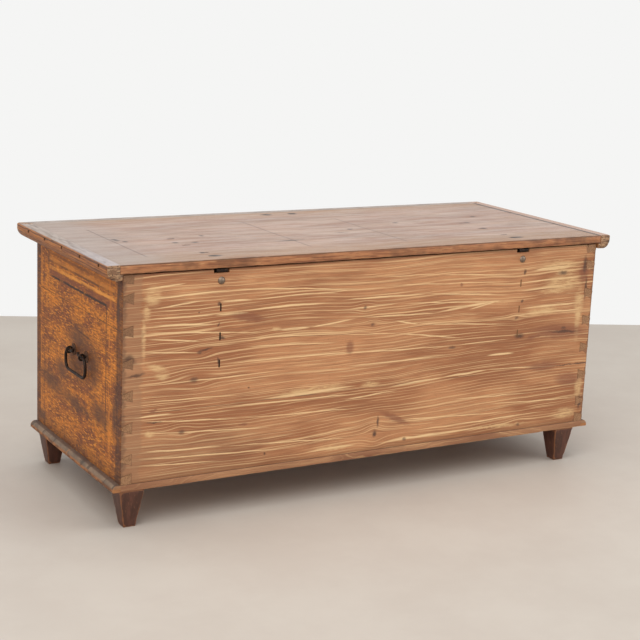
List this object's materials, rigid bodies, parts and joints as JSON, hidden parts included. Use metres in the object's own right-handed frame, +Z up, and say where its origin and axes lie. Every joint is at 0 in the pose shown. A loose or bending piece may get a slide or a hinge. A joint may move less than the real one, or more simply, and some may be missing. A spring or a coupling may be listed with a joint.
{
  "type": "storage trunk",
  "caption": "Low dovetailed pine blanket chest with a hinged moulded lid, bail handles on the ends, a box lock and tapered square feet.",
  "frame": {"origin": "on the floor, under the middle of the closed chest's overall box", "axes": "+Z up, +Y towards the back with the hinges, -Y towards the lock side, +X towards the right end seen from the front"},
  "size_m": [1.312, 0.55, 0.5714],
  "materials": {
    "bare_pine": "old unpainted pine, matt, with pale streaks",
    "grained_paint": "worn orange brown graining paint on pine, satin",
    "worn_lid_pine": "worn greyish brown pine with a soft sheen",
    "foot_wood": "dark brown stained wood, satin",
    "iron": "black forged iron, worn"
  },
  "bodies": {
    "case": {"back_board_upper": "bare_pine", "back_board_lower": "bare_pine", "bottom_plank_back": "bare_pine", "bottom_plank_front": "bare_pine", "front_board_upper": "grained_paint", "front_board_lower": "grained_paint", "end_right_upper": "grained_paint", "end_right_lower": "grained_paint", "end_left_upper": "grained_paint", "end_left_lower": "grained_paint", "foot_back_right": "foot_wood", "foot_back_left": "foot_wood", "foot_front_right": "foot_wood", "foot_front_left": "foot_wood", "bottom_nails": "iron", "hinge_leaf_right": "iron", "hinge_leaf_left": "iron", "hinge_pin_right": "iron", "hinge_pin_left": "iron", "dome_bolt_right": "iron", "dome_bolt_left": "iron", "leaf_nails_right": "iron", "leaf_nails_left": "iron", "lock_case": "iron", "lock_cap": "iron", "lock_nails": "iron", "escutcheon": "iron", "escutcheon_pins": "iron", "eye_right_back": "iron", "eye_right_front": "iron", "eye_left_back": "iron", "eye_left_front": "iron", "washers_right": "iron", "washers_left": "iron"},
    "lid": {"lid_plank_back": "worn_lid_pine", "lid_plank_front": "worn_lid_pine", "lid_mould_right": "grained_paint", "lid_mould_left": "grained_paint", "lid_mould_front": "grained_paint", "lid_mould_nails": "iron", "lid_strap_right": "iron", "lid_strap_left": "iron", "strap_nails_right": "iron", "strap_nails_left": "iron", "lid_staple": "iron", "staple_nails": "iron"},
    "lock_bolt": {"lock_bolt": "iron"},
    "bail_right": {"bail_right": "iron"},
    "bail_left": {"bail_left": "iron"}
  },
  "joints": [
    {"name": "lid_hinge", "type": "hinge", "parent": "case", "child": "lid", "pos_m": [0, 0.2665, 0.546], "axis": [-1, 0, 0], "range_deg": [0, 102]},
    {"name": "bail_right_swing", "type": "hinge", "parent": "case", "child": "bail_right", "pos_m": [0.6314, 0.037, 0.331], "axis": [0, -1, 0], "range_deg": [-8, 188]},
    {"name": "bail_left_swing", "type": "hinge", "parent": "case", "child": "bail_left", "pos_m": [-0.6314, 0.037, 0.331], "axis": [0, 1, 0], "range_deg": [-8, 188]},
    {"name": "bolt_slide", "type": "slide", "parent": "case", "child": "lock_bolt", "axis": [-1, 0, 0], "range_m": [0, 0.009]}
  ]
}
